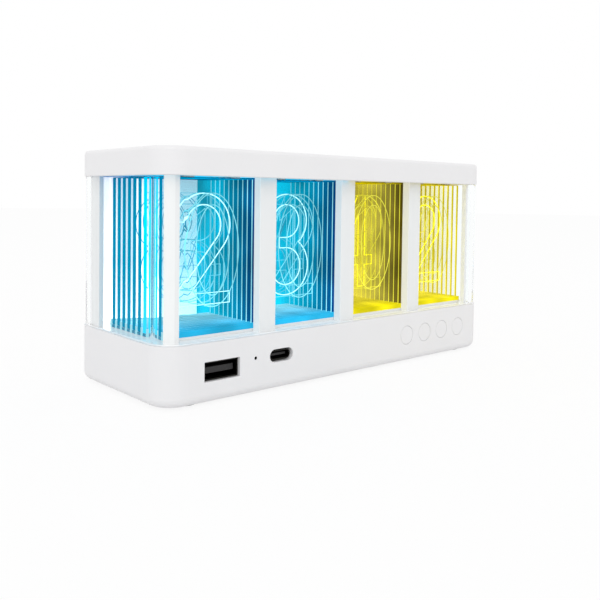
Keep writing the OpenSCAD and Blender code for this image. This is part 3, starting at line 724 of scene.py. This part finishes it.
def plate(outline, edge_slot):
    """One plate cut to this outline in X and Z, its front at y = 0 and its edges just broken."""
    shape = bmesh.new()
    face = shape.faces.new([shape.verts.new((x, 0, z)) for x, z in outline])
    grown = bmesh.ops.extrude_face_region(shape, geom=[face])["geom"]
    moved = [v for v in grown if isinstance(v, bmesh.types.BMVert)]
    bmesh.ops.translate(shape, verts=moved, vec=(0, PLATE_T, 0))
    bmesh.ops.recalc_face_normals(shape, faces=shape.faces)
    bmesh.ops.bevel(shape, geom=shape.edges, offset=PLATE_EDGE, affect="EDGES", segments=1, profile=0.5,
                    material=-1)
    for side in shape.faces:
        side.normal_update()
        if abs(side.normal.y) > FACING:
            side.material_index = CLEAR
        elif side.normal.x < ASLANT:
            side.material_index = edge_slot
        else:
            side.material_index = RIM if side.normal.y > ASLANT else FAR_EDGE
    mesh = bpy.data.meshes.new("plate")
    shape.to_mesh(mesh)
    shape.free()
    return mesh


def add_moved(shape, mesh, place):
    """Adds a copy of a mesh at this place."""
    copy = mesh.copy()
    copy.transform(Matrix.Translation(place))
    shape.from_mesh(copy)
    bpy.data.meshes.remove(copy)


def plate_stack(bay, finishes):
    """The ten plates of a bay with their engraving, in the place of the solids.
    The lit plate and the one behind it, which takes up its light, have bright edges."""
    low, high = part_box(f"digit_plates_{bay}")
    middle = (low.x + high.x) / 2
    left = low.x + TAB_INSET
    right = high.x - TAB_INSET
    outline = [(low.x, shoulder), (low.x, high.z), (high.x, high.z), (high.x, shoulder),
               (right, shoulder), (right, low.z), (left, low.z), (left, shoulder)]
    shape = bmesh.new()
    for number in PLATES:
        front = low.y + number * PLATE_PITCH
        behind = number - LIT[bay]
        add_moved(shape, plate(outline, EDGE_LIT if behind in (0, 1) else EDGE), (0, front, 0))
        lines = lit_lines[bay] if behind == 0 else dim_lines[number]
        add_moved(shape, lines, (middle, front, NUMERAL_FOOT))
    piece = finish_mesh(shape, f"digit_plates_{bay}_lit", *finishes)
    stands_for(piece, f"digit_plates_{bay}")


RISE_LOW = 20 * MM
RISE_HIGH = 44 * MM
STREAKS = 90.0
STREAK_SHADE = (0.6, 1.4)


def rise_group():
    """How the light thins out upwards in a plate: a colour that runs from its foot to its head."""
    group, given, result = new_group("light_rise", {"Foot": "Color", "Head": "Color"}, {"Glow": "Color"})
    nodes, links = group.nodes, group.links
    height = spread(nodes, links, axes(nodes, links)["Z"], 0.0, 1.0, RISE_LOW, RISE_HIGH)
    height.interpolation_type = "SMOOTHSTEP"
    colour = blend(nodes, links, height.outputs["Result"], given["Foot"], given["Head"])
    streak = pattern(nodes, links, "Noise", STREAKS)
    shade = spread(nodes, links, streak.outputs["Fac"], *STREAK_SHADE)
    links.new(scaled(nodes, links, colour, shade.outputs["Result"]), result["Glow"])
    return group


light_rise = rise_group()


def set_glow(nodes, links, surface, foot, head, strength):
    """Light that leaves a surface, from this colour at the foot to that at the head."""
    glow = nodes.new("ShaderNodeGroup")
    glow.node_tree = light_rise
    glow.inputs["Foot"].default_value = (*foot, 1)
    glow.inputs["Head"].default_value = (*head, 1)
    links.new(glow.outputs["Glow"], surface.inputs["Emission Color"])
    surface.inputs["Emission Strength"].default_value = strength


def mixed(nodes, links, factor, first, second):
    """One shader that goes over into another with a factor."""
    mix = nodes.new("ShaderNodeMixShader")
    links.new(factor, mix.inputs["Fac"])
    links.new(first, mix.inputs[1])
    links.new(second, mix.inputs[2])
    return mix.outputs["Shader"]


def let_light_in(nodes, links, wall):
    """Lets the light that falls on what is behind a clear wall through, so that it isn't left in the dark."""
    path = nodes.new("ShaderNodeLightPath")
    falling = reckon(nodes, links, "MAXIMUM", path.outputs["Is Shadow Ray"], path.outputs["Is Diffuse Ray"])
    through = nodes.new("ShaderNodeBsdfTransparent")
    both = mixed(nodes, links, falling, wall, through.outputs["BSDF"])
    links.new(both, nodes["Material Output"].inputs["Surface"])


def bending(nodes, tint, ior):
    """A polished clear shader that bends light and doesn't mirror it."""
    clear = nodes.new("ShaderNodeBsdfRefraction")
    clear.inputs["Color"].default_value = (*tint, 1)
    clear.inputs["Roughness"].default_value = 0.0
    clear.inputs["IOR"].default_value = ior
    return clear


PLATE_IOR = 1.45
SAWN_GRAIN = (700.0, 0.1)
FOOT_PALE = 0.1
UNLIT = (0.005, 0.005, 0.005)


def clear_face(name, tint):
    """A polished face of a plate: clear, with a breath of the light's colour painted into its tint."""
    material, nodes, links, surface = shader(name)
    nodes.remove(surface)
    let_light_in(nodes, links, bending(nodes, tint, PLATE_IOR).outputs["BSDF"])
    return material


def lit_edge(name, tone, strength):
    """A saw-cut edge or an engraved line with the light that leaves it painted on: a colour and a glow in the
    light's tone, a little paler at the foot.
    """
    material, nodes, links, surface = shader(name)
    set_grain(nodes, links, surface, tone, 0.4, *SAWN_GRAIN)
    set_glow(nodes, links, surface, pale(tone, FOOT_PALE), tone, strength)
    surface.inputs["Specular IOR Level"].default_value = 0.0
    return material


def gathered(name, blue, yellow):
    """A near-black surface with the bays' light painted on it as a glow, in front and rear tones."""
    material, nodes, links, surface = shader(name)
    set_grain(nodes, links, surface, UNLIT, 0.5, *SAWN_GRAIN)
    links.new(add_bay_light(nodes, blue, yellow, patch=0.3), surface.inputs["Emission Color"])
    surface.inputs["Emission Strength"].default_value = 1.0
    surface.inputs["Specular IOR Level"].default_value = 0.0
    return material


# Painted light: glow tones for the webs and far edges over painted dark, for the dim engraving and the rims,
# a light-coloured tint for the faces, and the tones and glows of the edges and the lit engraving.
WEB_SHADE_GLOW_TONES = (((0, 0.035, 0.17), (0, 0.52, 0.74)), ((0.08, 0.055, 0), (0.86, 0.77, 0.18)))
LINE_GLOW_TONES = (((0.25, 0.80, 0.92), (0.0, 0.33, 0.60)), ((0.85, 0.80, 0.08), (0.60, 0.52, 0)))
RIM_GLOW_TONES = (((0.32, 0.82, 0.92), (0.26, 0.70, 0.84)), ((0.92, 0.86, 0.06), (0.90, 0.85, 0.12)))
PLATE_LIGHT_TINT = {BLUE: (0.974, 0.99, 0.992), YELLOW: (0.992, 0.988, 0.945)}
EDGE_LIGHT_TONE = {BLUE: (0.0, 0.27, 0.46), YELLOW: (0.72, 0.62, 0.0)}
BRIGHT_EDGE_LIGHT = {BLUE: (0.0, 0.56, 0.80), YELLOW: (0.94, 0.86, 0.0)}
LIT_LINE_LIGHT = {BLUE: (0.62, 0.97, 1.0), YELLOW: (1.0, 0.93, 0.02)}
PLATE_GLOW = 0.12
BRIGHT_GLOW = 0.5
LIT_GLOW = 0.8
plate_face = {light: clear_face(f"{light}_plate_face", PLATE_LIGHT_TINT[light]) for light in LAMP}
plate_edge = {light: lit_edge(f"{light}_plate_edge", EDGE_LIGHT_TONE[light], PLATE_GLOW) for light in LAMP}
bright_edge = {light: lit_edge(f"{light}_bright_edge", BRIGHT_EDGE_LIGHT[light], BRIGHT_GLOW) for light in LAMP}
lit_line = {light: lit_edge(f"{light}_lit_line", LIT_LINE_LIGHT[light], LIT_GLOW) for light in LAMP}
far_edge = gathered("plate_far_edge", *WEB_SHADE_GLOW_TONES)
plate_rim = gathered("plate_rim", *RIM_GLOW_TONES)
faint_line = gathered("engraving", *LINE_GLOW_TONES)


def plate_finishes(bay):
    """The finishes of a bay's plates, in the order of the slots: face, edges, broken rim and engraving.
    The last bay's far edges look out at the end of the clock, and so take the edge glow in place of the web's
    painted dark and glow."""
    light = BAY_LIGHT[bay]
    far = plate_edge[light] if bay == BAYS[-1] else far_edge
    edges = (plate_edge[light], bright_edge[light], far, plate_rim)
    return plate_face[light], *edges, faint_line, lit_line[light]


for bay in BAYS:
    plate_stack(bay, plate_finishes(bay))

# Uprights: white mouldings between the bays and at the front corners, with tenons in the deck and the liner.
# Each divider's web behind its front is painted near black, as painted shade, and the light of the plates is
# painted on it as a glow that grows towards the rear.
UPRIGHT_D = 3.3 * MM
UPRIGHT_EDGE = 0.15 * MM
# Painted light: the sides in front of the webs are grey with a strong white glow, which keeps them white
# against the bays' light.
FLANK_GREY = (0.5, 0.5, 0.5)
FLANK_LIGHT = 0.4
post_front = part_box("divider_left")[0].y
web_front = post_front + UPRIGHT_D
web_shade_and_glow = lit_past("web_shade_and_glow", "Y", "GREATER_THAN", web_front + LEVEL_EDGE, *WEB_SHADE_GLOW_TONES, dark=0.03)
flank_painted_white = inner_white("flank_painted_glow", FRAME_GLOSS, light=FLANK_LIGHT, tone=FLANK_GREY)


def is_flank(face):
    """Picks the sides of an upright, in front of its web."""
    return abs(face.normal.x) > ASLANT and face.calc_center_median().y < web_front


for place in ("left", "middle", "right"):
    soften(f"divider_{place}", UPRIGHT_EDGE, web_shade_and_glow, second=flank_painted_white, where=is_flank)
for place in ("left", "right"):
    soften(f"corner_post_{place}", UPRIGHT_EDGE, frame_white, second=flank_painted_white,
           where=is_flank)

# Rear panel: a white moulding just inside the band, with a screw column behind each bay and its ends turned
# forward. Screws through the deck and the liner hold it, and a small channel on it covers the charge lead.
# Painted light: the wall behind the bays and the lead's cover glow white, as if lit from inside, and the
# turned ends take the faint painted glow of the white frame.
PANEL_T = 1.6 * MM
PANEL_EDGE = 0.15 * MM
WALL_GLOW = ((0.45, 0.45, 0.45), (0.45, 0.45, 0.45))
wall_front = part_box("rear_panel")[1].y - PANEL_T
turned_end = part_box("rear_panel")[1].x - 2 * PANEL_T
wall_lit = lit_past("wall_lit", "Y", "LESS_THAN", wall_front + LEVEL_EDGE, WALL_GLOW, WALL_GLOW,
                    dark=1.95, patch=0.05)
soften("rear_panel", PANEL_EDGE, wall_lit, second=frame_white,
       where=lambda face: abs(face.calc_center_median().x) > turned_end)
soften("lead_cover", PANEL_EDGE, wall_lit)

# Foam: soft grey strips that lie in grooves of the liner and press the plates into their combs.
# They are cut from a sheet of open-celled foam, and their edges round off under the load.
FOAM_GREY = (0.62, 0.6, 0.55)
FOAM_EDGE = 0.45 * MM
PORES = 2200.0
PORE_DEEP = 0.1 * MM
PORE_SHADE = 0.55


def foam(name, tone):
    """Open-celled foam, darker in its pores."""
    material, nodes, links, surface = shader(name)
    pores = pattern(nodes, links, "Voronoi", PORES)
    shade = blend(nodes, links, pores.outputs["Distance"], (*darker(tone, PORE_SHADE), 1), (*tone, 1))
    links.new(shade, surface.inputs["Base Color"])
    add_relief(nodes, links, surface, pores.outputs["Distance"], PORE_DEEP)
    surface.inputs["Roughness"].default_value = 0.95
    return material


strips = soften("foam_strips", FOAM_EDGE, foam("grey_foam", FOAM_GREY))

# Clear band: one closed ring of polished acrylic with round corners, cast in one piece.
# It stands on the base's rim, a little set back, and the cap holds it down.
BAND_R = 8.6 * MM
BAND_T = 2.5 * MM
BAND_EDGE = 0.1 * MM
HAIRLINE = 0.03 * MM
CORNER_STEPS = 48
BAND_TINT = (0.99, 1.0, 1.0)
BAND_IOR = 1.3
BAND_MIRROR = 0.05
WAVES = 26.0
WAVE_DEEP = 0.05 * MM
WAVE_STRENGTH = 0.02
CUT_LIGHT = 0.12


def clear_wall(name):
    """Polished acrylic with a faint wave in it. It bends light, and mirrors more at a flat angle."""
    material, nodes, links, surface = shader(name)
    wave = pattern(nodes, links, "Noise", WAVES)
    facing = add_relief(nodes, links, surface, wave.outputs["Fac"], WAVE_DEEP, WAVE_STRENGTH)
    surface.inputs["Base Color"].default_value = (*BAND_TINT, 1)
    surface.inputs["Roughness"].default_value = 0.0
    surface.inputs["Transmission Weight"].default_value = 1.0
    surface.inputs["IOR"].default_value = BAND_IOR
    surface.inputs["Specular Tint"].default_value = (0, 0, 0, 1)
    clear = bending(nodes, BAND_TINT, BAND_IOR)
    links.new(facing, clear.inputs["Normal"])
    gloss = nodes.new("ShaderNodeFresnel")
    gloss.inputs["IOR"].default_value = BAND_IOR
    links.new(facing, gloss.inputs["Normal"])
    mirror = spread(nodes, links, gloss.outputs["Fac"], 0.0, 1.0, BAND_MIRROR, 1.0)
    wall = mixed(nodes, links, mirror.outputs["Result"], clear.outputs["BSDF"], surface.outputs["BSDF"])
    let_light_in(nodes, links, wall)
    return material


def clear_ring(low, high):
    """The band's ring: a rectangle with round corners and its offset, drawn up to the full height.
    Its ends keep a hairline off their seats."""
    shape = bmesh.new()
    corners = [(low.x, low.y), (high.x, low.y), (high.x, high.y), (low.x, high.y)]
    shape.faces.new([shape.verts.new((x, y, low.z + HAIRLINE)) for x, y in corners])
    bmesh.ops.bevel(shape, geom=shape.verts[:], offset=BAND_R, affect="VERTICES", segments=CORNER_STEPS,
                    profile=0.5, material=-1)
    rim = bmesh.ops.inset_region(shape, faces=shape.faces[:], thickness=BAND_T, use_boundary=True,
                                 use_even_offset=True)["faces"]
    bmesh.ops.delete(shape, geom=[f for f in shape.faces if f not in rim], context="FACES_ONLY")
    grown = bmesh.ops.extrude_face_region(shape, geom=shape.faces[:])["geom"]
    moved = [v for v in grown if isinstance(v, bmesh.types.BMVert)]
    bmesh.ops.translate(shape, verts=moved, vec=(0, 0, high.z - low.z - 2 * HAIRLINE))
    bmesh.ops.recalc_face_normals(shape, faces=shape.faces)
    ends = [e for e in shape.edges if e.calc_face_angle() > SHARP]
    bmesh.ops.bevel(shape, geom=ends, offset=BAND_EDGE, affect="EDGES", segments=2, profile=0.5, material=-1)
    for face in shape.faces:
        face.normal_update()
        face.material_index = int(abs(face.normal.z) > ASLANT)
    return shape


# The band's ends are ground white with a painted glow, which keeps a dark line from showing where the band
# meets the base and the cap.
cut_white = inner_white("ground_edge", 0.6, light=CUT_LIGHT)
band = finish_mesh(clear_ring(*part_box("clear_sleeve")), "clear_band", clear_wall("clear_band"), cut_white)
level_faces(band)
stands_for(band, "clear_sleeve")

# Charger: a flat winding of enamelled copper, which sends power up through the cap to a phone.
# It lies on a disc of sintered ferrite, and a ring of the liner holds both up under the roof of the cap.
COPPER = (0.62, 0.27, 0.1)
COPPER_DARK = (0.16, 0.05, 0.015)
TURNS = 160.0
TURN_DEEP = 0.2 * MM
FERRITE_GREY = (0.06, 0.06, 0.065)


def winding(name):
    """Enamelled wire in close turns round Z."""
    material, nodes, links, surface = shader(name)
    turns = pattern(nodes, links, "Wave", TURNS)
    turns.wave_type = "RINGS"
    turns.rings_direction = "Z"
    shade = blend(nodes, links, turns.outputs["Fac"], (*COPPER_DARK, 1), (*COPPER, 1))
    links.new(shade, surface.inputs["Base Color"])
    add_relief(nodes, links, surface, turns.outputs["Fac"], TURN_DEEP)
    surface.inputs["Metallic"].default_value = 0.8
    surface.inputs["Roughness"].default_value = 0.3
    return material


dress(winding("copper_winding"), "charge_coil")
dress(moulded("ferrite", FERRITE_GREY, gloss=0.6, grain=1500.0, depth=0.4), "ferrite_sheet")

# Cap: the white ABS lid and charging pad, injection moulded, with a ring groove in its top for the phone.
# Hooks inside snap under the liner's edge.
CAP_EDGE = 0.15 * MM
soften("top_cap", CAP_EDGE, shell_white)

# Studio: a white floor that keeps a faint shadow and an even white room round it.
# One broad soft lamp stands at the left in front, so that the front is a little brighter than the sides.
ROOM_LIGHT = 0.9
FLOOR_REACH = 3.0
FLOOR_SIDES = 64
FLOOR_WHITE = (0.9, 0.9, 0.9)
FLOOR_BRIGHT = 0.9
LAMP_SIZE = 1.2
LAMP_WATTS = 6.0
LAMP_PLACE = Vector((-0.9, -1.0, 1.2))
LAMP_TARGET = Vector((0.0, 0.0, 0.1))


def seen(nodes, links):
    """1 for what the camera sees straight, in a mirror or through glass, and 0 for light on the object."""
    path = nodes.new("ShaderNodeLightPath")
    plain = reckon(nodes, links, "MAXIMUM", path.outputs["Is Camera Ray"], path.outputs["Is Glossy Ray"])
    return reckon(nodes, links, "MAXIMUM", plain, path.outputs["Is Transmission Ray"])


def white_room():
    """A room that looks pure white and lights the object a little less."""
    world = bpy.data.worlds.new("white_room")
    world.use_nodes = True
    nodes, links = world.node_tree.nodes, world.node_tree.links
    level = spread(nodes, links, seen(nodes, links), ROOM_LIGHT, 1.0)
    nodes["Background"].inputs["Color"].default_value = (1, 1, 1, 1)
    links.new(level.outputs["Result"], nodes["Background"].inputs["Strength"])
    scene.world = world


def white_floor():
    """A round floor, mostly as bright as the room, that still takes the object's shadow."""
    material, nodes, links, surface = shader("floor_white")
    surface.inputs["Base Color"].default_value = (*FLOOR_WHITE, 1)
    surface.inputs["Roughness"].default_value = 1.0
    surface.inputs["Specular IOR Level"].default_value = 0.0
    bright = nodes.new("ShaderNodeEmission")
    share = reckon(nodes, links, "MULTIPLY", seen(nodes, links), FLOOR_BRIGHT)
    both = mixed(nodes, links, share, surface.outputs["BSDF"], bright.outputs["Emission"])
    links.new(both, nodes["Material Output"].inputs["Surface"])
    shape = bmesh.new()
    bmesh.ops.create_circle(shape, cap_ends=True, segments=FLOOR_SIDES, radius=FLOOR_REACH)
    floor = finish_mesh(shape, "floor", material)


def soft_lamp():
    """A broad lamp, turned to the object."""
    data = bpy.data.lights.new("soft_lamp", "AREA")
    data.size = LAMP_SIZE
    data.energy = LAMP_WATTS
    lamp = bpy.data.objects.new("soft_lamp", data)
    scene.collection.objects.link(lamp)
    lamp.location = LAMP_PLACE
    lamp.rotation_euler = (LAMP_TARGET - LAMP_PLACE).to_track_quat("-Z", "Y").to_euler()


white_room()
white_floor()
soft_lamp()

# Camera: low at the left of the front, a little below the top of the body, and turned down a little.
# Its place, turn and focal length were solved from the body's edges in a square picture of 600 pixels.
YAW = 0.7227
PITCH = 0.0368
ROLL = 0.0128
EYE = (-192.87 * MM, -217.53 * MM, 66.09 * MM)
IMAGE = 600
FOCAL_PX = 731.49
AXIS_Y_PX = 222.8
SENSOR = 36.0
NEAR = 10 * MM
BOUNCES = 128
CLEAR_BOUNCES = 64


def aim(camera):
    """Puts the camera in its place and turns it: round Z, then down, then about its own axis."""
    forward = Vector((math.sin(YAW), math.cos(YAW), 0))
    right = Vector((math.cos(YAW), -math.sin(YAW), 0))
    up = Vector((0, 0, 1))
    ahead = forward * math.cos(PITCH) - up * math.sin(PITCH)
    head = up * math.cos(PITCH) + forward * math.sin(PITCH)
    side = right * math.cos(ROLL) + head * math.sin(ROLL)
    head = head * math.cos(ROLL) - right * math.sin(ROLL)
    turn = Matrix((side, head, -ahead)).transposed().to_4x4()
    camera.matrix_world = Matrix.Translation(EYE) @ turn


lens = bpy.data.cameras.new("camera")
lens.sensor_width = SENSOR
lens.lens = FOCAL_PX * SENSOR / IMAGE
lens.shift_y = (AXIS_Y_PX - IMAGE / 2) / IMAGE
lens.clip_start = NEAR
camera = bpy.data.objects.new("camera", lens)
scene.collection.objects.link(camera)
aim(camera)
scene.camera = camera
scene.view_settings.view_transform = "Standard"
scene.cycles.max_bounces = BOUNCES
scene.cycles.transmission_bounces = BOUNCES
scene.cycles.glossy_bounces = BOUNCES
scene.cycles.transparent_max_bounces = CLEAR_BOUNCES
